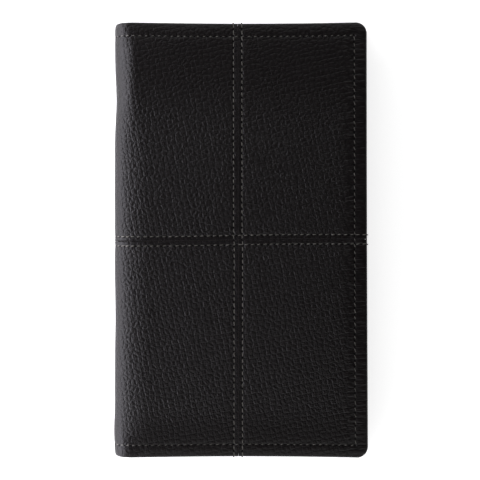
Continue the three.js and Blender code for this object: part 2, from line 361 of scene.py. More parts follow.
def row_distance(row, x, y):
    """Distance of points from a row and from the nearest needle hole in it."""
    along, across = (x, y) if row.runs == "x" else (y, x)
    beyond = np.maximum(np.maximum(row.low - along, along - row.high), 0.0)
    pitch = (row.high - row.low) / stitch_count(row)
    inside = np.clip(along, row.low, row.high) - row.low
    off_hole = inside - pitch * np.round(inside / pitch)
    return np.hypot(across - row.at, beyond), np.hypot(across - row.at, beyond + np.abs(off_hole))


def past_edge_rows(x, y):
    """How far points lie beyond the rows of stitches along the fore, top and bottom edges."""
    thread = settings().thread
    inset = np.where(y > 0, thread.top_inset, thread.edge_inset)
    return np.maximum(x - FORE_X + thread.edge_inset, np.abs(y) - TOP_Y + inset)


def ripples(x, y):
    """Height that sewing and the seams give the outer leather, in pattern coordinates."""
    leather = settings().leather
    wide_cell, small_cell, small_share = 31 * MM, 13 * MM, 0.6
    drift, drift_cell, fold_cell, fold_stretch = 1.2 * MM, 7 * MM, 1.0 * MM, 0.2
    clear_of_row, share_in_hem = 0.8 * MM, 0.3
    swells = value_noise(x, y, wide_cell, seed=3) + small_share * value_noise(x, y, small_cell, seed=5)
    height = leather.swell * (swells - 2 * small_share) / (1 + 2 * small_share)
    supple = np.where(past_edge_rows(x, y) > 0, share_in_hem, 1.0)
    for number, row in enumerate(stitch_rows()):
        along, across = (x, y) if row.runs == "x" else (y, x)
        distance, from_hole = row_distance(row, x, y)
        height = height - leather.channel_depth * hump(distance, leather.channel_width)
        height = height - leather.hole_depth * hump(from_hole, leather.hole_width)
        height = height - leather.pull_depth * np.exp(-distance / leather.pull_reach)
        wander = along + drift * value_noise(x, y, drift_cell, seed=40 + number)
        folds = value_noise(wander, across * fold_stretch, fold_cell, seed=60 + number)
        fade = np.exp(-distance / leather.pucker_reach) * (1 - hump(distance, clear_of_row))
        height = height + row.lay.pucker * folds * fade * supple
    rolls = []
    for roll, distance in ((leather.seam_roll, np.abs(x - SEAM_X)), (leather.cross_roll, np.abs(y))):
        over = np.clip(roll - distance, 0.0, roll)
        rolls.append(roll - np.sqrt(roll * roll - over * over))
    return height - np.maximum(*rolls)


def relief(x, y):
    """Height of the outer leather over its plain face, in pattern coordinates."""
    leather = settings().leather
    share_at_fore = 0.3
    to_end, to_fore = TOP_Y - np.abs(y), FORE_X - x
    fall = np.where(to_fore < to_end, share_at_fore, 1.0) * leather.margin_fall
    fall = fall * np.maximum(1 - np.minimum(to_end, to_fore) / leather.margin_reach, 0.0) ** 2
    return ripples(x, y) - fall + spine_form(x, y)


def dull(x, y):
    """Share by which the leather loses its shine: in the seams and the needle holes."""
    leather = settings().leather
    steepness = 1.6
    distance = np.minimum(np.abs(x - SEAM_X), np.abs(y))
    lost = smooth_step(steepness * (1 - distance / leather.seam_shade))
    for row in stitch_rows():
        lost = np.maximum(lost, hump(row_distance(row, x, y)[1], leather.hole_width))
    return lost


def pressed(x, y):
    """Share by which the grain is pressed flat: in the margins, between the rows of a seam, towards the top and the
    bottom, and beside the fore row."""
    thread = settings().thread
    in_margin, in_strip, at_end, at_fore = 0.42, 0.36, 0.4, 0.35
    start, margin_reach, strip_reach, fore_reach = 0.3, 1.5 * MM, 1.0 * MM, 7 * MM
    top_from, top_reach, bottom_from, bottom_reach = 50 * MM, 45 * MM, 82 * MM, 18 * MM
    margin = in_margin * smooth_step(start + past_edge_rows(x, y) / margin_reach)
    beside = np.maximum(thread.seam_offset - np.abs(x - SEAM_X), thread.cross_offset - np.abs(y))
    strip = in_strip * smooth_step(start + beside / strip_reach)
    ends = smooth_step((y - top_from) / top_reach) + smooth_step((-y - bottom_from) / bottom_reach)
    fore = at_fore * smooth_step(1 + (x - FORE_X + thread.edge_inset) / fore_reach)
    return np.maximum(np.maximum(margin, strip), np.maximum(at_end * ends, fore))


def drawn_out(x):
    """Place of the grain across the leather: sewing draws it out beside the row along the fore edge."""
    reach, most = 8 * MM, 0.75
    past = (x - FORE_X + settings().thread.edge_inset) / reach + 1
    return x - most * reach * (np.clip(past, 0.0, 1.0) ** 2 / 2 + np.maximum(past - 1, 0.0))


def drawn_in(x, y):
    """Bows the top and bottom edges in between the crease and the fore corners."""
    leather = settings().leather
    t = np.clip((x - CREASE_X) / (FORE_X - leather.corner_radius - CREASE_X), 0.0, 1.0)
    return y * (1 - 4 * leather.draw_in * t * (1 - t) / TOP_Y)


def warp(x, y):
    """Moves points of the outer leather's pattern as sewing pulls them: the fore edge leans, the upright seam sits
    off its line, more so below the cross seam, and the cross seam climbs to the fore edge."""
    leather = settings().leather
    bow, climb_from, climb_reach = 0.35, 6 * MM, 80 * MM
    up = y / TOP_Y
    across = np.clip((x - CREASE_X) / (FORE_X - CREASE_X), 0.0, 1.0)
    lean = leather.fore_slant * across * (bow * up * up - up)
    off_line = leather.seam_shift * (1 + np.where(y < 0, 1 + up, 0.0))
    shift = off_line * smooth_step(1 - np.abs(x - SEAM_X) / (FORE_X - SEAM_X))
    climb = leather.cross_rise * smooth_step((x - CREASE_X - climb_from) / climb_reach) - leather.cross_drop
    return x + lean + shift, drawn_in(x, y) + climb * (1 - up * up)


def place(x, y, depth, side):
    """World points for pattern points at a depth under the outer face of one side."""
    turn = np.maximum(SPINE_X - x, 0.0) / SPINE_RADIUS
    radius = SPINE_RADIUS - depth
    wx = np.maximum(x, SPINE_X) - radius * np.sin(turn)
    wz = SPINE_RADIUS - radius * np.cos(turn)
    wz = THICKNESS - wz if side == "front" else wz
    return np.stack([wx, y + 0 * wx, wz], axis=-1)


def graded(low, high, centres, step):
    """Rising numbers from low to high, at most step apart, and closer round the centres, each given as (place,
    spacing, reach)."""
    samples = 4001
    t = np.linspace(low, high, samples)
    spacing = np.full_like(t, step)
    for centre, fine, reach in centres:
        near = fine + (step - fine) * np.clip((np.abs(t - centre) - reach) / reach, 0.0, 1.0)
        spacing = np.minimum(spacing, near)
    count = np.concatenate([[0.0], np.cumsum(np.diff(t) * (0.5 / spacing[:-1] + 0.5 / spacing[1:]))])
    return np.interp(np.linspace(0, count[-1], int(math.ceil(count[-1])) + 1), count, t)


# Meshes

class Sheet:
    """Points and faces of one piece while it is made. Points are pattern x, y and height over the piece's face."""

    def __init__(self):
        self.points, self.grain, self.faces, self.flat_faces = [], [], [], []
        self.count = 0

    def add(self, x, y, height, grain_x=None, grain_y=None):
        """Adds points and returns their numbers, in the same layout."""
        x, y, height = np.broadcast_arrays(x, y, height)
        grain_x = x if grain_x is None else grain_x
        grain_y = y if grain_y is None else grain_y
        self.points.append(np.stack([x, y, height], -1).reshape(-1, 3))
        self.grain.append(np.stack(np.broadcast_arrays(grain_x, grain_y), -1).reshape(-1, 2))
        numbers = np.arange(self.count, self.count + x.size).reshape(x.shape)
        self.count += x.size
        return numbers

    def strip(self, one, other, flat=False, closed=False):
        """Quads between two rows of points."""
        one, other = np.asarray(one), np.asarray(other)
        if closed:
            one, other = np.append(one, one[0]), np.append(other, other[0])
        quads = np.stack([one[:-1], one[1:], other[1:], other[:-1]], -1).tolist()
        (self.flat_faces if flat else self.faces).extend(quads)

    def grid(self, numbers):
        """Quads over a grid of points."""
        for one, other in zip(numbers[:-1], numbers[1:]):
            self.strip(one, other)

    def cap(self, numbers):
        """One flat face."""
        self.flat_faces.append([int(n) for n in numbers])

    def made(self, name, position, material, grain, shades=None):
        """The piece as an object. position and grain turn pattern points into world points and into places in the
        grain, and each of the named shades turns them into a share that the material reads."""
        points = np.concatenate(self.points)
        mesh = bpy.data.meshes.new(name)
        mesh.from_pydata(position(points).tolist(), [], self.faces + self.flat_faces)
        smooth = np.arange(len(mesh.polygons)) < len(self.faces)
        mesh.polygons.foreach_set("use_smooth", smooth)
        places = mesh.attributes.new("grain", "FLOAT_VECTOR", "POINT")
        spread = np.concatenate(self.grain)
        vectors = np.concatenate([grain(spread), np.zeros((len(spread), 1))], axis=1)
        places.data.foreach_set("vector", vectors.astype(np.float32).ravel())
        for label, shade in (shades or {}).items():
            values = mesh.attributes.new(label, "FLOAT", "POINT")
            values.data.foreach_set("value", shade(points[:, 0], points[:, 1]).astype(np.float32))
        return finished(mesh, name, material)


def finished(mesh, name, material):
    """Turns a closed mesh's faces outwards and links it as a piece."""
    shell = bmesh.new()
    shell.from_mesh(mesh)
    bmesh.ops.recalc_face_normals(shell, faces=shell.faces)
    for face in shell.faces:
        if not face.smooth:
            for edge in face.edges:
                edge.smooth = False
    shell.to_mesh(mesh)
    shell.free()
    mesh.materials.append(material)
    piece = bpy.data.objects.new(name, mesh)
    bpy.context.scene.collection.objects.link(piece)
    return piece


def rounded_corner(x, y, corner_x, corner_y, block, radius):
    """Squeezes the block of a grid at a corner, at corner_x and corner_y, so that its border turns an arc."""
    sx, sy = math.copysign(1, corner_x), math.copysign(1, corner_y)
    a = np.clip(sx * (x - corner_x) / block + 1, 0.0, 1.0)
    b = np.clip(sy * (y - corner_y) / block + 1, 0.0, 1.0)
    inner = block - radius
    angle = np.arctan2(b, np.maximum(a, 1e-9))
    reach = inner * (np.cos(angle) + np.sin(angle))
    reach = reach + np.sqrt(np.maximum(radius**2 - inner**2 * (1 - np.sin(2 * angle)), 0.0))
    square = block / np.maximum(np.cos(angle), np.sin(angle))
    squeeze = np.maximum(1 - reach / square, 0.0) * np.maximum(a, b)
    turning = square * np.minimum(np.cos(angle), np.sin(angle)) > inner
    squeeze = np.where((a > 0) & (b > 0) & turning, squeeze, 0.0)
    return x - sx * a * squeeze * block, y - sy * b * squeeze * block


def edge_normals(x, y, corner_x, corner_y, radius, default):
    """Outward directions along a border that turns an arc at one corner."""
    sx, sy = math.copysign(1, corner_x), math.copysign(1, corner_y)
    dx, dy = sx * x - (abs(corner_x) - radius), sy * y - (abs(corner_y) - radius)
    turning = (dx > 1e-9) & (dy > 1e-9)
    size = np.maximum(np.hypot(dx, dy), 1e-12)
    normals = np.array(default, float)
    normals[turning] = np.stack([sx * dx / size, sy * dy / size], -1)[turning]
    return normals


def turned_edge(leather):
    """Profile of a turned edge from the face round to the inside: steps of (outwards, up, share of the relief,
    length along the leather)."""
    r, steps, run, stops = leather.edge_round, [], 0.0, 7
    straight = EDGE - 2 * r
    for quarter, drop in ((0.0, 0.0), (math.pi / 2, straight)):
        for turn in np.linspace(quarter, quarter + math.pi / 2, stops)[1 if quarter == 0 else 0:]:
            run = r * turn + drop
            steps.append((r * math.sin(turn), -r * (1 - math.cos(turn)) - drop, math.cos(turn / 2), run))
    for reach in HEM_REACHES:
        steps.append((-reach, -EDGE, 0.0, run + reach))
    under = leather.hem - EDGE
    inner = r - leather.thickness
    return steps, ((-HEM_REACHES[-1], under), (inner, under), (inner, -leather.thickness))


def leather_piece(name, lines_x, lines_y, side, material, grain_offset, corner=False):
    """A piece of the outer leather with its turned edge along the end of lines_y, and with corner along the end of
    lines_x too. It is closed: caps at the seams and creases, and an inner face."""
    leather = settings().leather
    sheet = Sheet()
    x, y = np.meshgrid(lines_x, lines_y, indexing="ij")
    top = lines_y[-1]
    radius = leather.corner_radius - leather.edge_round
    if corner:
        x, y = rounded_corner(x, y, lines_x[-1], top, radius + CORNER_ROOM, radius)
    face = sheet.add(x, y, relief(x, y))
    sheet.grid(face)
    border = np.concatenate([face[-1, :], face[-2::-1, -1]]) if corner else face[:, -1]
    points = np.concatenate(sheet.points)[border]
    bx, by, height = points.T
    normals = np.tile([0.0, math.copysign(1, top)], (len(border), 1))
    if corner:
        normals[: face.shape[1]] = (1.0, 0.0)
        normals = edge_normals(bx, by, lines_x[-1], top, radius, normals)
    nx, ny = normals.T
    round_steps, inner_steps = turned_edge(leather)
    share_round_edge = 0.4
    uneven = share_round_edge * ripples(bx, by)
    rings = [border]
    for out, up, shown, run in round_steps:
        lean = min(max(out / leather.edge_round, 0.0), 1.0)
        rise = up + height * shown * math.sqrt(1 - lean * lean)
        reach = out + uneven * shown * lean
        rings.append(sheet.add(bx + nx * reach, by + ny * reach, rise, bx + nx * run, by + ny * run))
        sheet.strip(*rings[-2:])
    for out, up in inner_steps:
        rings.append(sheet.add(bx + nx * out, by + ny * out, up))
        sheet.strip(*rings[-2:], flat=True)
    start, stop = [ring[0] for ring in rings[1:]], [ring[-1] for ring in rings[1:]]
    if corner:
        root = sheet.add(np.array([lines_x[0]]), np.array([lines_y[0]]), -leather.thickness)
        sheet.cap([root[0], *rings[-1]])
        sheet.cap([*face[:, 0], *start, root[0]])
        sheet.cap([*face[0, :], *stop, root[0]])
    else:
        foot = sheet.add(np.array(lines_x), np.full(len(lines_x), lines_y[0]), -leather.thickness)
        sheet.strip(foot, rings[-1], flat=True)
        sheet.strip(face[:, 0], foot, flat=True)
        sheet.cap([*face[0, :], *start, foot[0]])
        sheet.cap([*face[-1, :], *stop, foot[-1]])

    def position(p):
        wx, wy = warp(p[:, 0], p[:, 1])
        return place(wx, wy, -p[:, 2], side)

    def grain(p):
        across = drawn_out(p[:, 0])
        across = across if side == "front" else 2 * MIDDLE_X - across
        return np.stack([across + grain_offset[0], p[:, 1] + grain_offset[1]], -1)

    return sheet.made(name, position, material, grain, {"dull": dull, "pressed": pressed})


def leather_lines(part, sign):
    """Mesh lines across and up one piece of the outer leather, from the cross seam to the turned edge."""
    leather, thread = settings().leather, settings().thread
    slit, round_step, step, r = 0.03 * MM, 0.35 * MM, leather.mesh_step, leather.edge_round
    seam, row = (0.08 * MM, 0.55 * MM), (0.2 * MM, 0.9 * MM)
    beside = (SEAM_X - thread.seam_offset, SEAM_X + thread.seam_offset, FORE_X - thread.edge_inset)
    across = [(SEAM_X, *seam), *((x, *row) for x in beside)]
    spans = {
        "fore": (SEAM_X + slit, FORE_X - r, across, step),
        "spine": (CREASE_X, SEAM_X - slit, across, step),
        "round": (MIDDLE_X, CREASE_X, across, round_step),
    }
    lines_x = graded(*spans[part])
    inset = thread.top_inset if sign > 0 else thread.edge_inset
    up = [(0.0, *seam), (thread.cross_offset, *row), (TOP_Y - inset, *row)]
    lines_y = sign * graded(slit, TOP_Y - r, up, step)
    return lines_x, lines_y


def inner_relief(x, y, side):
    """Height of the lining and the pockets over their plain faces: channels under the stitches and soft swells."""
    leather = settings().leather
    swell, cell, shallow = 0.05 * MM, 11 * MM, 0.6
    height = swell * (value_noise(x, y, cell, seed=21) - 1)
    for row in inner_rows(side):
        distance = row_distance(row, x, y)[0]
        height = height - shallow * leather.channel_depth * hump(distance, leather.channel_width)
    return height


def border_normals(x, y):
    """Outward directions along a closed border that runs anticlockwise."""
    ahead = np.stack([np.roll(x, -1) - x, np.roll(y, -1) - y], -1)
    ahead = ahead / np.maximum(np.linalg.norm(ahead, axis=1, keepdims=True), 1e-12)
    both = ahead + np.roll(ahead, 1, axis=0)
    both = both / np.maximum(np.linalg.norm(both, axis=1, keepdims=True), 1e-12)
    return both[:, 1], -both[:, 0]


def slab_piece(
    name, box, thickness, depth, side, material, step,
    lift=None, corners=(), mouth=None, inset=None, close=((), ()),
):
    """A flat inner piece, closed and with rounded edges, whose face looks into the wallet. box is its (low x, high
    x, low y, high y), depth the depth of its plain face under the outer leather, lift a height over that face,
    corners the (x, y, radius) it rounds, mouth the height of its top edge along x, inset the rounding of its edges,
    and close the places on x and on y where its mesh is graded finer."""
    r = min(settings().inside.edge_round if inset is None else inset, thickness / 2)
    low_x, high_x, low_y, high_y = box[0] + r, box[1] - r, box[2] + r, box[3] - r
    sheet = Sheet()
    lines_x, lines_y = graded(low_x, high_x, close[0], step), graded(low_y, high_y, close[1], step)
    x, y = np.meshgrid(lines_x, lines_y, indexing="ij")
    for corner_x, corner_y, radius in corners:
        corner = (corner_x - math.copysign(r, corner_x), corner_y - math.copysign(r, corner_y))
        x, y = rounded_corner(x, y, *corner, radius + CORNER_ROOM, radius - r)
    if mouth is not None:
        y = low_y + (y - low_y) * (mouth(x) - r - low_y) / (high_y - low_y)
    rise = np.zeros_like(x) if lift is None else lift(x, y)
    face, back = sheet.add(x, y, rise), sheet.add(x, y, rise - thickness)
    sheet.grid(face)
    sheet.grid(back)

    def border(numbers):
        return np.concatenate([numbers[:, 0], numbers[-1, 1:], numbers[-2::-1, -1], numbers[0, -2:0:-1]])

    around = border(face)
    bx, by, height = np.concatenate(sheet.points)[around].T
    nx, ny = border_normals(bx, by)
    last = around
    profile = ((0.6, 0.2 * r), (1.0, r), (1.0, thickness - r), (0.6, thickness - 0.2 * r))
    for out, down in profile:
        ring = sheet.add(bx + nx * out * r, by + ny * out * r, height - down)
        sheet.strip(last, ring, closed=True)
        last = ring
    sheet.strip(last, border(back), closed=True)

    def position(p):
        return place(p[:, 0], drawn_in(p[:, 0], p[:, 1]), depth + p[:, 2], side)

    return sheet.made(name, position, material, lambda p: p + GRAIN_START[side])


# Materials

def fed(tree, socket, value):
    """Sets an input socket to a value, or links it to a (node, output)."""
    if isinstance(value, tuple) and isinstance(value[0], bpy.types.Node):
        tree.links.new(value[0].outputs[value[1]], socket)
    else:
        socket.default_value = value


def given(tree, node, **values):
    """Gives each value to the node's property of that name, or else to its input of that name."""
    for name, value in values.items():
        if hasattr(node, name):
            setattr(node, name, value)
        else:
            fed(tree, node.inputs[name.replace("_", " ")], value)
    return node


def new_node(tree, kind, **values):
    """Adds a node and gives it its values."""
    return given(tree, tree.nodes.new(kind), **values)


def math_node(tree, operation, *values):
    """A Math node whose inputs are numbers or (node, output)."""
    node = new_node(tree, "ShaderNodeMath", operation=operation)
    for socket, value in zip(node.inputs, values):
        fed(tree, socket, value)
    return node


def vector_node(tree, operation, *values):
    """A Vector Math node whose inputs are vectors or (node, output). For a Scale, the second is the factor."""
    node = new_node(tree, "ShaderNodeVectorMath", operation=operation)
    entries = (node.inputs[0], node.inputs["Scale" if operation == "SCALE" else 1])
    for socket, value in zip(entries, values):
        fed(tree, socket, value)
    return node


def new_group(name, inputs, outputs, kind="ShaderNodeTree"):
    """A node group with its sockets: {name: (kind, default)} and {name: kind}."""
    group = bpy.data.node_groups.new(name, kind)
    for label, (socket_kind, default) in inputs.items():
        socket = group.interface.new_socket(label, in_out="INPUT", socket_type=socket_kind)
        if default is not None:
            socket.default_value = default
    for label, socket_kind in outputs.items():
        group.interface.new_socket(label, in_out="OUTPUT", socket_type=socket_kind)
    return group, group.nodes.new("NodeGroupInput"), group.nodes.new("NodeGroupOutput")


def grain_group():
    """Pebbled grain: uneven cells parted by valleys, over finer wrinkles and pores."""
    if "Leather grain" in bpy.data.node_groups:
        return bpy.data.node_groups["Leather grain"]
    inputs = {
        "Place": ("NodeSocketVector", None),
        "Cell size": ("NodeSocketFloat", 0.001),
        "Wander": ("NodeSocketFloat", 0.3),
        "Valley": ("NodeSocketFloat", 0.38),
        "Roundness": ("NodeSocketFloat", 0.1),
    }
    outputs = {"Height": "NodeSocketFloat", "Valley": "NodeSocketFloat", "Blotch": "NodeSocketFloat"}
    group, entry, end = new_group("Leather grain", inputs, outputs)
    wrinkle_share, pore_share = 0.45, 0.35
    per_cell = math_node(group, "DIVIDE", 1.0, (entry, "Cell size"))
    cells = vector_node(group, "SCALE", (entry, "Place"), (per_cell, 0))
    stretched = {"Vector": (cells, 0), "Rotation": (0.0, 0.0, 0.2), "Scale": (1.0, 0.95, 1.0)}
    stretch = new_node(group, "ShaderNodeMapping", vector_type="TEXTURE", **stretched)
    drift = noise_on(group, (stretch, 0), Scale=0.55, Detail=3.0, Roughness=0.6)
    centred = vector_node(group, "SUBTRACT", (drift, "Color"), (0.5, 0.5, 0.5))
    moved = vector_node(group, "SCALE", (centred, 0), (entry, "Wander"))
    bent_place = vector_node(group, "ADD", (stretch, 0), (moved, 0))
    cell = {"voronoi_dimensions": "2D", "Randomness": 0.6, "Vector": (bent_place, 0)}
    middles = new_node(group, "ShaderNodeTexVoronoi", feature="F1", Scale=1.0, **cell)
    edges = new_node(group, "ShaderNodeTexVoronoi", feature="DISTANCE_TO_EDGE", Scale=1.0, **cell)
    wrinkles = new_node(group, "ShaderNodeTexVoronoi", feature="DISTANCE_TO_EDGE", Scale=2.4, **cell)
    squared = math_node(group, "POWER", (middles, "Distance"), 2.0)
    dome = mapped(group, (squared, 0), 0.0, 0.55, 1.0, 0.0)
    soft = {"interpolation_type": "SMOOTHERSTEP"}
    top = new_node(group, "ShaderNodeMapRange", Value=(edges, "Distance"), From_Max=(entry, "Valley"), **soft)
    crease = new_node(group, "ShaderNodeMapRange", Value=(wrinkles, "Distance"), From_Max=0.34, **soft)
    shapes = {"A": (top, "Result"), "B": (dome, "Result")}
    pebble = new_node(group, "ShaderNodeMix", data_type="FLOAT", Factor=(entry, "Roundness"), **shapes)
    blotch = noise_on(group, (cells, 0), Scale=0.16, Detail=2.0)
    pores = noise_on(group, (cells, 0), Scale=5.0, Detail=2.0)
    wrinkled = math_node(group, "MULTIPLY_ADD", (crease, "Result"), wrinkle_share, (pebble, 0))
    total = math_node(group, "MULTIPLY_ADD", (pores, 0), pore_share, (wrinkled, 0))
    valley = math_node(group, "SUBTRACT", 1.0, (top, "Result"))
    given(group, end, Height=(total, 0), Valley=(valley, 0), Blotch=(blotch, 0))
    return group


def noise_on(tree, where, **values):
    """Flat noise over a place, (node, output)."""
    return new_node(tree, "ShaderNodeTexNoise", noise_dimensions="2D", Vector=where, **values)


def weave_group():
    """Twill: slanting ribs crossed by the single yarns."""
    if "Twill weave" in bpy.data.node_groups:
        return bpy.data.node_groups["Twill weave"]
    inputs = {"Place": ("NodeSocketVector", None), "Rib spacing": ("NodeSocketFloat", 0.0007)}
    group, entry, end = new_group("Twill weave", inputs, {"Height": "NodeSocketFloat", "Tone": "NodeSocketFloat"})
    per_rib = math_node(group, "DIVIDE", 1.0, (entry, "Rib spacing"))
    yarns = vector_node(group, "SCALE", (entry, "Place"), (per_rib, 0))
    cross_share = 0.45
    slanting = {"bands_direction": "DIAGONAL", "Scale": 0.22, "Distortion": 0.35, "Detail Scale": 1.5}
    upright = {"bands_direction": "X", "Scale": 0.62, "Distortion": 0.25}
    bands = {"wave_type": "BANDS", "Vector": (yarns, 0)}
    ribs, cross = (new_node(group, "ShaderNodeTexWave", **bands, **way) for way in (slanting, upright))
    tone = noise_on(group, (yarns, 0), Scale=1.7, Detail=3.0)
    both = math_node(group, "MULTIPLY_ADD", (cross, 1), cross_share, (ribs, 1))
    given(group, end, Height=(both, 0), Tone=(tone, 0))
    return group


def new_material(name):
    """An empty material with its Principled shader."""
    material = bpy.data.materials.new(name)
    material.use_nodes = True
    tree = material.node_tree
    tree.nodes.clear()
    shader = tree.nodes.new("ShaderNodeBsdfPrincipled")
    output = tree.nodes.new("ShaderNodeOutputMaterial")
    given(tree, output, Surface=(shader, "BSDF"))
    return material, tree, shader


def mixed(tree, factor, first, second):
    """A mix by a (node, output) of two colours, each given as three numbers or as a (node, output)."""
    one, other = (dye if isinstance(dye[0], bpy.types.Node) else (*dye, 1.0) for dye in (first, second))
    return new_node(tree, "ShaderNodeMix", data_type="RGBA", Factor=factor, A=one, B=other)


def tinted(dye, factor):
    """A colour made darker or lighter."""
    return tuple(factor * part for part in dye)


def attribute(tree, name):
    """Reads an attribute of the piece."""
    return new_node(tree, "ShaderNodeAttribute", attribute_name=name)


def raised(tree, shader, height, depth):
    """Gives a shader the relief of a height, (node, output), of a depth in metres."""
    bump = new_node(tree, "ShaderNodeBump", Height=height, Distance=depth, Strength=1.0)
    given(tree, shader, Normal=(bump, 0))


def patterned(tree, group, **values):
    """A shader group laid on the piece's own grain places."""
    place_on = (attribute(tree, "grain"), "Vector")
    return new_node(tree, "ShaderNodeGroup", node_tree=group, Place=place_on, **values)


def mapped(tree, source, low, high, low_value, high_value):
    """A value carried from one range to another."""
    ranges = {"From Min": low, "From Max": high, "To Min": low_value, "To Max": high_value}
    return new_node(tree, "ShaderNodeMapRange", Value=source, **ranges)


def grained_leather(name, dye, roughness, cell, depth):
    """Leather with a pebbled grain: rougher valleys whose colour is darkened by painted shade, and faint blotches of
    the dye. The grain is flatter where the leather is pressed, and the leather is rough where it is dull."""
    if name in bpy.data.materials:
        return bpy.data.materials[name]
    lighter, darker, rougher, middle_height = 1.25, 0.55, 0.04, 0.8
    material, tree, shader = new_material(name)
    grain = patterned(tree, grain_group(), Cell_size=cell)
    shade = mixed(tree, (grain, "Blotch"), dye, tinted(dye, lighter))
    # Painted shade: the grain's valleys get a darker base colour that stands in for the shade falling in them.
    valley_shade = mapped(tree, (grain, "Valley"), 0.2, 1.0, 0.0, 0.8)
    base = mixed(tree, (valley_shade, 0), (shade, 2), tinted(dye, darker))
    kept = math_node(tree, "SUBTRACT", 1.0, (attribute(tree, "pressed"), "Fac"))
    pits = math_node(tree, "MULTIPLY", (grain, "Valley"), (kept, 0))
    rough = mapped(tree, (pits, 0), 0.0, 1.0, roughness, roughness + rougher)
    shine = math_node(tree, "MAXIMUM", (rough, 0), (attribute(tree, "dull"), "Fac"))
    given(tree, shader, Base_Color=(base, 2), Roughness=(shine, 0), Specular_IOR_Level=0.25)
    over = math_node(tree, "SUBTRACT", (grain, "Height"), middle_height)
    height = math_node(tree, "MULTIPLY", (over, 0), (kept, 0))
    raised(tree, shader, (height, 0), depth)
    return material


def outer_leather():
    """Pebbled leather of the covers and the spine."""
    leather = settings().leather
    dye = tuple(leather.colour)
    return grained_leather("pebbled_leather", dye, leather.roughness, leather.grain_size, leather.grain_depth)


def pocket_leather():
    """Fine-grained leather of the pockets."""
    inside = settings().inside
    dye = tuple(inside.pocket_colour)
    return grained_leather("fine_leather", dye, inside.pocket_roughness, inside.pocket_grain, inside.pocket_depth)


def woven_lining():
    """Twill of the linings."""
    if "woven_lining" in bpy.data.materials:
        return bpy.data.materials["woven_lining"]
    inside = settings().inside
    darker, lighter, rib_height, least_rough, most_rough = 0.6, 1.5, 0.08 * MM, 0.75, 0.95
    material, tree, shader = new_material("woven_lining")
    weave = patterned(tree, weave_group(), Rib_spacing=inside.weave)
    dye = tuple(inside.lining_colour)
    base = mixed(tree, (weave, "Height"), tinted(dye, darker), tinted(dye, lighter))
    rough = mapped(tree, (weave, "Tone"), 0.2, 0.8, least_rough, most_rough)
    given(tree, shader, Base_Color=(base, 2), Roughness=(rough, 0))
    raised(tree, shader, (weave, "Height"), rib_height)
    return material


def speckled(name, base_colour, scale):
    """Board or foam: a matte colour with fibres or cells."""
    if name in bpy.data.materials:
        return bpy.data.materials[name]
    material, tree, shader = new_material(name)
    coordinates = tree.nodes.new("ShaderNodeTexCoord")
    noise = new_node(tree, "ShaderNodeTexNoise", Vector=(coordinates, "Object"), Scale=scale, Detail=4.0)
    darker, lighter, bump_height = 0.7, 1.2, 0.05 * MM
    base = mixed(tree, (noise, 0), tinted(base_colour, darker), tinted(base_colour, lighter))
    given(tree, shader, Base_Color=(base, 2), Roughness=0.92)
    raised(tree, shader, (noise, 0), bump_height)
    return material


def sewing_thread():
    """Twisted thread, made paler round the spine by painted light, and the dark discs of painted shade at the needle
    holes.
    """
    if "sewing_thread" in bpy.data.materials:
        return bpy.data.materials["sewing_thread"]
    thread = settings().thread
    turns_along, turns_round, darker, ply_height = 10.0, 2.0, 0.55, 0.06 * MM
    thread_rough, hole_rough, hole_shade_colour = 0.6, 1.0, (0.0005, 0.0005, 0.0005)
    material, tree, shader = new_material("sewing_thread")
    parts = new_node(tree, "ShaderNodeSeparateXYZ", Vector=(attribute(tree, "lay"), "Vector"))
    along = math_node(tree, "MULTIPLY", (parts, "X"), turns_along / turns_round)
    twist = math_node(tree, "ADD", (along, 0), (parts, "Y"))
    turn = math_node(tree, "MULTIPLY", (twist, 0), turns_round * 2 * math.pi)
    plies = math_node(tree, "SINE", (turn, 0))
    ply = mapped(tree, (plies, 0), -1.0, 1.0, 0.0, 1.0)
    hole = attribute(tree, "hole")
    dye = tuple(thread.colour)
    base = mixed(tree, (ply, 0), tinted(dye, darker), dye)
    # Painted light: the thread round the spine takes the paler colour, standing in for the side light it catches
    # there.
    lit = mixed(tree, (attribute(tree, "pale"), "Fac"), (base, 2), tuple(thread.pale_colour))
    # Painted shade: the needle holes' discs take a near-black colour for the shade inside them.
    dark = mixed(tree, (hole, "Fac"), (lit, 2), hole_shade_colour)
    rough = mapped(tree, (hole, "Fac"), 0.0, 1.0, thread_rough, hole_rough)
    given(tree, shader, Base_Color=(dark, 2), Roughness=(rough, 0), Specular_IOR_Level=0.1)
    raised(tree, shader, (ply, 0), ply_height)
    return material


# Stitches

def read(tree, name, kind="FLOAT_VECTOR"):
    """Reads a named attribute of the points."""
    return new_node(tree, "GeometryNodeInputNamedAttribute", data_type=kind, Name=name)


def stored(tree, name, shape, value, kind="FLOAT"):
    """Stores a value, a number or a (node, output), as a named attribute of a shape, (node, output)."""
    kept = {"Name": name, "Geometry": shape, "Value": value}
    return new_node(tree, "GeometryNodeStoreNamedAttribute", data_type=kind, **kept)


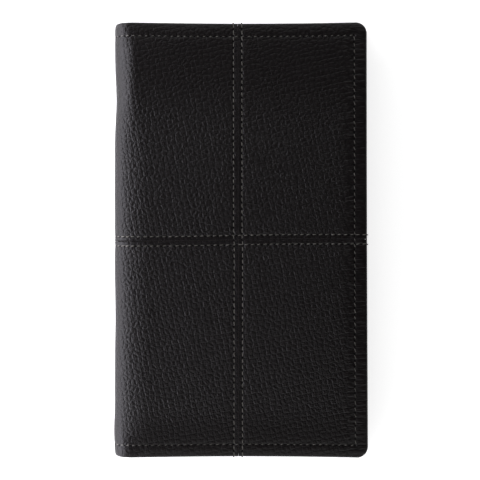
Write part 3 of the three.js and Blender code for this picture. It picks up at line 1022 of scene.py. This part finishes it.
def thread_shape(tree, entry):
    """One stitch: a bent tube with its ends in the leather. Its attribute lay runs along and round the thread."""
    bend = new_node(tree, "GeometryNodeCurveQuadraticBezier", Resolution=6)
    crown, sunk = (math_node(tree, "MULTIPLY", (entry, "Width"), part) for part in (0.75, -0.75))
    for label, part, height in (("Start", -0.5, sunk), ("Middle", 0.0, crown), ("End", 0.5, sunk)):
        along = math_node(tree, "MULTIPLY", (entry, "Length"), part)
        point = new_node(tree, "ShaderNodeCombineXYZ", X=(along, 0), Z=(height, 0))
        given(tree, bend, **{label: (point, 0)})
    radius = math_node(tree, "MULTIPLY", (entry, "Width"), 0.5)
    ring = new_node(tree, "GeometryNodeCurvePrimitiveCircle", Resolution=7, Radius=(radius, 0))
    factor = tree.nodes.new("GeometryNodeSplineParameter")
    run = stored(tree, "run", (bend, "Curve"), (factor, "Factor"))
    turn = stored(tree, "turn", (ring, "Curve"), (factor, "Factor"))
    tube = new_node(tree, "GeometryNodeCurveToMesh", Curve=(run, 0), Profile_Curve=(turn, 0), Fill_Caps=True)
    runs, turns = ((read(tree, name, "FLOAT"), "Attribute") for name in ("run", "turn"))
    lay = new_node(tree, "ShaderNodeCombineXYZ", X=runs, Y=turns)
    laid = stored(tree, "lay", (tube, 0), (lay, 0), "FLOAT_VECTOR")
    return new_node(tree, "GeometryNodeSetShadeSmooth", Geometry=(laid, 0))


def stitch_turn(tree, entry):
    """Turns a stitch off the leather and along its row, and a little askew by chance."""
    facing, along = ((read(tree, name), "Attribute") for name in ("facing", "along"))
    align = "FunctionNodeAlignRotationToVector"
    upright = new_node(tree, align, axis="Z", pivot_axis="AUTO", Vector=facing)
    in_row = new_node(tree, align, axis="X", pivot_axis="Z", Vector=along, Rotation=(upright, 0))
    chance = {"data_type": "FLOAT", "Min": 0.4, "Max": 1.6, "Seed": (entry, "Seed")}
    uneven = new_node(tree, "FunctionNodeRandomValue", **chance)
    skew = math_node(tree, "MULTIPLY", (uneven, 1), (entry, "Slant"))
    angles = new_node(tree, "ShaderNodeCombineXYZ", Z=(skew, 0))
    askew = new_node(tree, "FunctionNodeEulerToRotation", Euler=(angles, 0))
    turns = {"Rotation": (in_row, 0), "Rotate By": (askew, 0)}
    return new_node(tree, "FunctionNodeRotateRotation", rotation_space="LOCAL", **turns)


def stitch_tree():
    """Geometry Nodes that lay a bent thread, or a dark disc of painted shade at a needle hole, on each point. The
    points' attributes are along, the way of the row, facing, the way off the leather, and sizes, with a height of 0
    for a hole."""
    if "Stitches" in bpy.data.node_groups:
        return bpy.data.node_groups["Stitches"]
    inputs = {"Geometry": ("NodeSocketGeometry", None)}
    inputs.update({label: ("NodeSocketFloat", None) for label in ("Length", "Width", "Hole", "Slant")})
    inputs.update({"Seed": ("NodeSocketInt", None), "Material": ("NodeSocketMaterial", None)})
    tree, entry, end = new_group("Stitches", inputs, {"Geometry": "NodeSocketGeometry"}, "GeometryNodeTree")
    thread = thread_shape(tree, entry)
    # Painted shade: a dark disc lies over each needle hole in place of the shade inside it.
    shade_disc = new_node(tree, "GeometryNodeMeshCircle", fill_type="NGON", Vertices=10, Radius=(entry, "Hole"))
    hole = stored(tree, "hole", (shade_disc, 0), 1.0)
    turn = stitch_turn(tree, entry)
    chance = {"Min": (0.92, 0.9, 0.85), "Max": (1.05, 1.1, 1.15), "Seed": (entry, "Seed")}
    uneven = new_node(tree, "FunctionNodeRandomValue", data_type="FLOAT_VECTOR", **chance)
    sizes = read(tree, "sizes")
    parts = new_node(tree, "ShaderNodeSeparateXYZ", Vector=(sizes, "Attribute"))
    uneven_sizes = vector_node(tree, "MULTIPLY", (uneven, 0), (sizes, "Attribute"))
    is_stitch = math_node(tree, "GREATER_THAN", (parts, "Z"), 0.5)
    is_hole = math_node(tree, "LESS_THAN", (parts, "Z"), 0.5)
    both = tree.nodes.new("GeometryNodeJoinGeometry")
    for chosen, shape, scale in ((is_stitch, thread, uneven_sizes), (is_hole, hole, sizes)):
        laid = new_node(
            tree, "GeometryNodeInstanceOnPoints", Points=(entry, "Geometry"), Selection=(chosen, 0),
            Instance=(shape, 0), Rotation=(turn, 0), Scale=(scale, 0),
        )
        given(tree, both, Geometry=(laid, 0))
    real = new_node(tree, "GeometryNodeRealizeInstances", Geometry=(both, 0))
    painted = new_node(tree, "GeometryNodeSetMaterial", Geometry=(real, 0), Material=(entry, "Material"))
    given(tree, end, Geometry=(painted, 0))
    return tree


def stitches(name, places, along, facing, sizes):
    """One mesh of stitches and of the dark discs of painted shade at the needle holes, laid by the Geometry Nodes
    tree at each place.
    """
    thread = settings().thread
    painted_light_start, painted_light_reach = CREASE_X + 2 * MM, 4 * MM
    mesh = bpy.data.meshes.new(name)
    mesh.from_pydata(places.tolist(), [], [])
    for label, vectors in (("along", along), ("facing", facing), ("sizes", sizes)):
        kept = mesh.attributes.new(label, "FLOAT_VECTOR", "POINT")
        kept.data.foreach_set("vector", vectors.astype(np.float32).ravel())
    # Painted light: marks the stitches round the spine for the paler thread colour that stands in for the side
    # light.
    pale = mesh.attributes.new("pale", "FLOAT", "POINT")
    painted_lightness = smooth_step((painted_light_start - places[:, 0]) / painted_light_reach)
    pale.data.foreach_set("value", painted_lightness.astype(np.float32))
    seat = bpy.data.objects.new(name + ".seat", mesh)
    bpy.context.scene.collection.objects.link(seat)
    tree = stitch_tree()
    layer = seat.modifiers.new("Stitches", "NODES")
    layer.node_group = tree
    values = {
        "Length": thread.seam_pitch * thread.filled, "Width": thread.width, "Hole": thread.hole,
        "Slant": thread.slant, "Seed": thread.seed, "Material": sewing_thread(),
    }
    for item in tree.interface.items_tree:
        if item.item_type == "SOCKET" and item.in_out == "INPUT" and item.name in values:
            layer[item.identifier] = values[item.name]
    graph = bpy.context.evaluated_depsgraph_get()
    laid = bpy.data.meshes.new_from_object(seat.evaluated_get(graph))
    laid.name = name
    bpy.data.objects.remove(seat)
    bpy.data.meshes.remove(mesh)
    piece = bpy.data.objects.new(name, laid)
    bpy.context.scene.collection.objects.link(piece)
    return piece


def row_points(row, holes):
    """Pattern places along a row, in the middle of each stitch and, if wished, at each needle hole, with their
    direction and with their sizes: length, width and a height of 1, or 0 for a hole."""
    count = stitch_count(row)
    steps = np.arange(0.0, count + 0.25, 0.5) if holes else np.arange(0.5, count, 1.0)
    along = row.low + steps * (row.high - row.low) / count
    stitched = steps % 1 == 0.5
    across = np.where(stitched, row.at, row.at - HOLE_SHIFT)
    sizes = np.where(stitched[:, None], [row.lay.long, row.lay.wide, 1.0], HOLE_SIZES)
    way = np.array([math.cos(row.lay.slant), math.sin(row.lay.slant)])
    if row.runs == "x":
        return along, across, np.tile(way, (len(steps), 1)), sizes
    return across, along, np.tile(way[::-1], (len(steps), 1)), sizes


def all_points(rows, holes):
    """The points of several rows."""
    return (np.concatenate(part) for part in zip(*(row_points(row, holes) for row in rows)))


def on_surface(at, xs, ys, ways, height):
    """Places on a surface, given as at(x, y, height), with the ways along the rows and off the surface."""
    centre = at(xs, ys, height)
    along = at(xs + TINY * ways[:, 0], ys + TINY * ways[:, 1], height) - centre
    return centre, along / TINY, (at(xs, ys, height + TINY) - centre) / TINY


def outer_stitch_places(side):
    """Places, directions, outward normals and sizes of the stitches on one side, and their pattern x."""
    stitch_lift, hole_lift = 0.02 * MM, settings().leather.hole_depth + 0.03 * MM
    xs, ys, ways, sizes = all_points(stitch_rows(), holes=True)
    height = relief(xs, ys) + np.where(sizes[:, 2] > 0, stitch_lift, hole_lift)

    def at(x, y, lift):
        return place(*warp(x, y), -lift, side)

    return *on_surface(at, xs, ys, ways, height), sizes, xs


def inner_stitch_places(side):
    """Places, directions, inward normals and sizes of the stitches inside a cover, on its lining or top pocket."""
    xs, ys, ways, sizes = all_points(inner_rows(side), holes=False)
    depth = np.full_like(xs, LINING_FACE)
    for node, pocket_side in POCKETS.items():
        if pocket_side == side:
            (low_x, high_x, low_y, high_y), _, face, step_up = pocket_form(node)
            covered = (xs > low_x) & (xs < high_x) & (ys > low_y) & (ys < high_y)
            depth = np.where(covered, np.maximum(depth, face + step_up(ys)), depth)
    depth = depth + inner_relief(xs, ys, side)

    def at(x, y, deep):
        return place(x, drawn_in(x, y), deep, side)

    return *on_surface(at, xs, ys, ways, depth), sizes


def bent(piece, side):
    """Bakes the transform of a piece of the spine into its mesh."""
    if side == "back":
        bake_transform(piece)
    else:
        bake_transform(piece)
    return piece


# Operators

class WALLET_OT_outer_leather(Operator):
    """Makes the outer leather of both covers and of the spine"""

    bl_idname = "wallet.outer_leather"
    bl_label = "Outer leather"

    def execute(self, context):
        material = outer_leather()
        fore_start, upper_start = 0.17, 0.46
        for side in SIDES:
            for row, sign in zip(ROWS, (1, -1)):
                start_y = upper_start if row == "upper" else 0.0
                for part in ("fore", "spine"):
                    start = (fore_start if part == "fore" else 0.0, start_y)
                    lines = leather_lines(part, sign)
                    name = f"{side}_{row}_{part}"
                    piece = leather_piece(name + "_leather", *lines, side, material, start, corner=part == "fore")
                    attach(piece, f"{side}_cover")
                    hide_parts(name + "_panel")
                lines = leather_lines("round", sign)
                piece = leather_piece(f"spine_{row}_{side}_leather", *lines, side, material, (0.0, start_y))
                bent(piece, side)
                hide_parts(f"spine_{row}_leather")
        return {"FINISHED"}


class WALLET_OT_lining(Operator):
    """Makes the woven lining of the covers and of the spine"""

    bl_idname = "wallet.lining"
    bl_label = "Lining"

    def execute(self, context):
        leather, inside = settings().leather, settings().inside
        spine_step, cut_edge = 0.5 * MM, 0.05 * MM
        cloth = LINING_HIGH.z - LINING_LOW.z
        low, high = LINING_LOW.y, LINING_HIGH.y
        radius = leather.corner_radius - LINING_MARGIN
        corners = [(LINING_HIGH.x, high, radius), (LINING_HIGH.x, low, radius)]
        for side in SIDES:

            def swells(x, y):
                return inner_relief(x, y, side)

            weave = (cloth, LINING_FACE, side, woven_lining())
            box = (CREASE_X, LINING_HIGH.x, low, high)
            name = f"{side}_cover_lining"
            cover = slab_piece(name, box, *weave, inside.mesh_step, swells, corners, inset=cut_edge)
            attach(cover, f"{side}_cover")
            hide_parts(f"{side}_lining")
            box = (MIDDLE_X, CREASE_X, low, high)
            spine = slab_piece(f"spine_{side}_lining", box, *weave, spine_step, swells, inset=cut_edge)
            bent(spine, side)
            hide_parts("spine_lining")
        return {"FINISHED"}


class WALLET_OT_stiffening(Operator):
    """Makes the foam strip in the spine and finishes the boards in the covers"""

    bl_idname = "wallet.stiffening"
    bl_label = "Foam and boards"

    def execute(self, context):
        leather, inside = settings().leather, settings().inside
        cells_per_metre, fibres_per_metre, step = 2600.0, 900.0, 1.0 * MM
        outer = FOAM_LOW.x - CAD_LOW.x
        gap = outer - leather.thickness
        inner = LINING_LOW.z - leather.hem - 2 * gap
        cells = speckled("foam_cells", tuple(inside.foam_colour), cells_per_metre)
        for side in SIDES:
            box = (MIDDLE_X, SPINE_X, FOAM_LOW.y, FOAM_HIGH.y)
            foam = slab_piece(f"spine_{side}_foam", box, inner - outer, inner, side, cells, step)
            bent(foam, side)
            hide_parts("spine_foam")
            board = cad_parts[f"{side}_board"]
            board.data.materials.clear()
            board.data.materials.append(speckled("grey_board", tuple(inside.board_colour), fibres_per_metre))
        return {"FINISHED"}


def pocket_form(node):
    """A pocket's box, its thickness, the depth of its low face and its lift along y: card pockets step up to their
    mouths."""
    low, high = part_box(node)
    deepest, highest = (low.z, high.z) if POCKETS[node] == "back" else (THICKNESS - high.z, THICKNESS - low.z)
    plain_low, plain_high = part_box("document_pocket")
    thickness = plain_high.z - plain_low.z
    step = highest - deepest - thickness
    tucked = high.y - low.y < CARD_STEP + 2 * CARD_TUCK
    strip = CARD_STEP - CARD_PLAY - CARD_JOGGLE if tucked else CARD_TUCK + CARD_PLAY

    def lift(y):
        return step * smooth_step((y - (high.y - strip - CARD_JOGGLE)) / CARD_JOGGLE)

    return (low.x, high.x, low.y, high.y), thickness, deepest + thickness, lift


class WALLET_OT_pockets(Operator):
    """Makes the ticket, passport, document and card pockets"""

    bl_idname = "wallet.pockets"
    bl_label = "Pockets"

    def execute(self, context):
        leather, inside = settings().leather, settings().inside
        crease, notch_radius = inside.mouth_crease, inside.notch_radius
        crease_depth, crease_width, bead_height = 0.13 * MM, 0.28 * MM, 0.06 * MM
        by_notch, by_crease, step = (0.2 * MM, 2.5 * MM), (0.15 * MM, 1.0 * MM), 0.8 * inside.mesh_step
        material = pocket_leather()
        radius = leather.corner_radius - LINING_MARGIN
        for node, side in POCKETS.items():
            box, thickness, depth, step_up = pocket_form(node)
            low_x, high_x, low_y, high_y = box
            notch_x = (low_x + high_x) / 2
            notched = node == "passport_pocket"

            def mouth(x):
                across = np.clip(np.abs(x - notch_x) / notch_radius, 0.0, 1.0)
                return high_y - notch_radius * np.sqrt(1 - across * across)

            def lift(x, y):
                from_mouth = high_y - y
                if notched:
                    from_notch = np.hypot(x - notch_x, y - high_y) - notch_radius
                    from_mouth = np.minimum(from_mouth, np.abs(from_notch))
                line = crease_depth * hump(from_mouth - crease, crease_width)
                bead = bead_height * smooth_step(1 - from_mouth / crease)
                return step_up(y) + inner_relief(x, y, side) - line + bead

            corners = [(high_x, low_y, radius)] if low_y < LINING_LOW.y + 1 * MM else []
            notch_sides = (notch_x - notch_radius, notch_x + notch_radius) if notched else ()
            close = [(x, *by_notch) for x in notch_sides], [(high_y - crease, *by_crease)]
            piece = slab_piece(
                node.replace("_pocket", "_leather_pocket"), box, thickness, depth, side, material, step,
                lift, corners, mouth if notched else None, close=close,
            )
            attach(piece, f"{side}_cover")
            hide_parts(node)
        return {"FINISHED"}


class WALLET_OT_stitching(Operator):
    """Lays the stitches on the outer leather and inside the covers"""

    bl_idname = "wallet.stitching"
    bl_label = "Stitching"

    def execute(self, context):
        for side in SIDES:
            *laid, xs = outer_stitch_places(side)
            on_cover = xs >= CREASE_X
            cover = stitches(f"{side}_cover_stitches", *(part[on_cover] for part in laid))
            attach(cover, f"{side}_cover")
            spine = stitches(f"spine_{side}_stitches", *(part[~on_cover] for part in laid))
            bent(spine, side)
            inner = stitches(f"{side}_inner_stitches", *inner_stitch_places(side))
            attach(inner, f"{side}_cover")
        return {"FINISHED"}


def soft_box(name, watts, size, location, target):
    """A soft light aimed at a point."""
    lamp = bpy.data.lights.new(name, "AREA")
    lamp.shape = "RECTANGLE"
    lamp.size, lamp.size_y = size
    lamp.energy = watts
    holder = bpy.data.objects.new(name, lamp)
    bpy.context.scene.collection.objects.link(holder)
    holder.location = location
    holder.visible_camera = False
    aim = Vector(target) - Vector(location)
    holder.rotation_euler = aim.to_track_quat("-Z", "Y").to_euler()
    return holder


def backdrop_rays(tree):
    """1 for the rays that see the white floor and backdrop: the camera's, and those that gloss and glass send on."""
    rays = tree.nodes.new("ShaderNodeLightPath")
    sent_on = math_node(tree, "MAXIMUM", (rays, "Is Glossy Ray"), (rays, "Is Transmission Ray"))
    return math_node(tree, "MAXIMUM", (rays, "Is Camera Ray"), (sent_on, 0))


def pale_floor():
    """A floor that looks white, and whiter away from the wallet, with a faint shadow by it."""
    stage = settings().stage
    half, drop = 4.0, 0.4 * MM
    mesh = bpy.data.meshes.new("floor")
    mesh.from_pydata([(-half, -half, 0), (half, -half, 0), (half, half, 0), (-half, half, 0)], [], [(0, 1, 2, 3)])
    floor = bpy.data.objects.new("floor", mesh)
    floor.location.z = -drop
    bpy.context.scene.collection.objects.link(floor)
    material, tree, shader = new_material("pale_floor")
    white = (*stage.floor_colour, 1.0)
    where = tree.nodes.new("ShaderNodeTexCoord")
    away = vector_node(tree, "LENGTH", (where, "Object"))
    grown = mapped(tree, (away, "Value"), stage.lift_near, stage.lift_far, stage.floor_lift, 1.0)
    lift = math_node(tree, "MULTIPLY", (backdrop_rays(tree), 0), (grown, 0))
    given(tree, shader, Base_Color=white, Roughness=0.9, Emission_Color=white, Emission_Strength=(lift, 0))
    mesh.materials.append(material)


def studio():
    """A world that is dim overhead and lighter low down, with a white backdrop round the horizon."""
    stage = settings().stage
    world = bpy.data.worlds.new("studio")
    world.use_nodes = True
    tree = world.node_tree
    way = tree.nodes.new("ShaderNodeTexCoord")
    parts = new_node(tree, "ShaderNodeSeparateXYZ", Vector=(way, "Generated"))
    below = math_node(tree, "SUBTRACT", 1.0, (parts, "Z"))
    fade = math_node(tree, "POWER", (below, 0), 2.0)
    light = mapped(tree, (fade, 0), 0.0, 1.0, stage.sky_high, stage.sky_low)
    band = mapped(tree, (parts, "Z"), stage.backdrop_low, stage.backdrop_high, 1.0, 0.0)
    backdrop = math_node(tree, "MULTIPLY", (backdrop_rays(tree), 0), (band, 0))
    seen = math_node(tree, "MAXIMUM", (light, 0), (backdrop, 0))
    given(tree, tree.nodes["Background"], Color=(1.0, 1.0, 1.0, 1.0), Strength=(seen, 0))
    return world


class WALLET_OT_stage(Operator):
    """Makes the floor, the lights and the camera"""

    bl_idname = "wallet.stage"
    bl_label = "Stage"

    def execute(self, context):
        stage = settings().stage
        scene = context.scene
        pale_floor()
        scene.world = studio()
        lamps = {name: soft_box(f"{name}_light", getattr(stage, f"{name}_power"), *LAMPS[name]) for name in LAMPS}
        lamps["side"].data.color = stage.side_colour
        camera = bpy.data.cameras.new("camera")
        camera.lens = camera.sensor_width * stage.camera_height / stage.view_width
        camera.clip_end = 20.0
        eye = bpy.data.objects.new("camera", camera)
        eye.location = (stage.camera_x, 0.0, THICKNESS + stage.camera_height)
        scene.collection.objects.link(eye)
        scene.camera = eye
        scene.view_settings.view_transform = "Standard"
        return {"FINISHED"}


OPERATORS = (
    WALLET_OT_stage,
    WALLET_OT_outer_leather,
    WALLET_OT_stiffening,
    WALLET_OT_lining,
    WALLET_OT_pockets,
    WALLET_OT_stitching,
)
GROUPS = (LeatherSettings, ThreadSettings, InsideSettings, StageSettings, WalletSettings)


class WALLET_PT_sidebar(Panel):
    """Lists the wallet's sizes and the steps that make it"""

    bl_label = "Travel Wallet"
    bl_idname = "WALLET_PT_sidebar"
    bl_space_type = "VIEW_3D"
    bl_region_type = "UI"
    bl_category = "Wallet"

    def draw(self, context):
        for operator in OPERATORS:
            self.layout.operator(operator.bl_idname)
        wallet = context.scene.travel_wallet
        for part in ("leather", "thread", "inside", "stage"):
            box = self.layout.box()
            group = getattr(wallet, part)
            box.label(text=part.capitalize())
            for key in group.__annotations__:
                box.prop(group, key)


CLASSES = (*GROUPS, *OPERATORS, WALLET_PT_sidebar)


def register():
    """Adds the settings, the operators and the panel."""
    for item in CLASSES:
        bpy.utils.register_class(item)
    bpy.types.Scene.travel_wallet = PointerProperty(type=WalletSettings)


def unregister():
    """Takes them away again."""
    del bpy.types.Scene.travel_wallet
    for item in reversed(CLASSES):
        bpy.utils.unregister_class(item)


def main():
    """Makes the stage and the wallet."""
    register()
    bpy.ops.wallet.stage()
    bpy.ops.wallet.outer_leather()
    bpy.ops.wallet.stiffening()
    bpy.ops.wallet.lining()
    bpy.ops.wallet.pockets()
    bpy.ops.wallet.stitching()


if __name__ == "__main__":
    main()
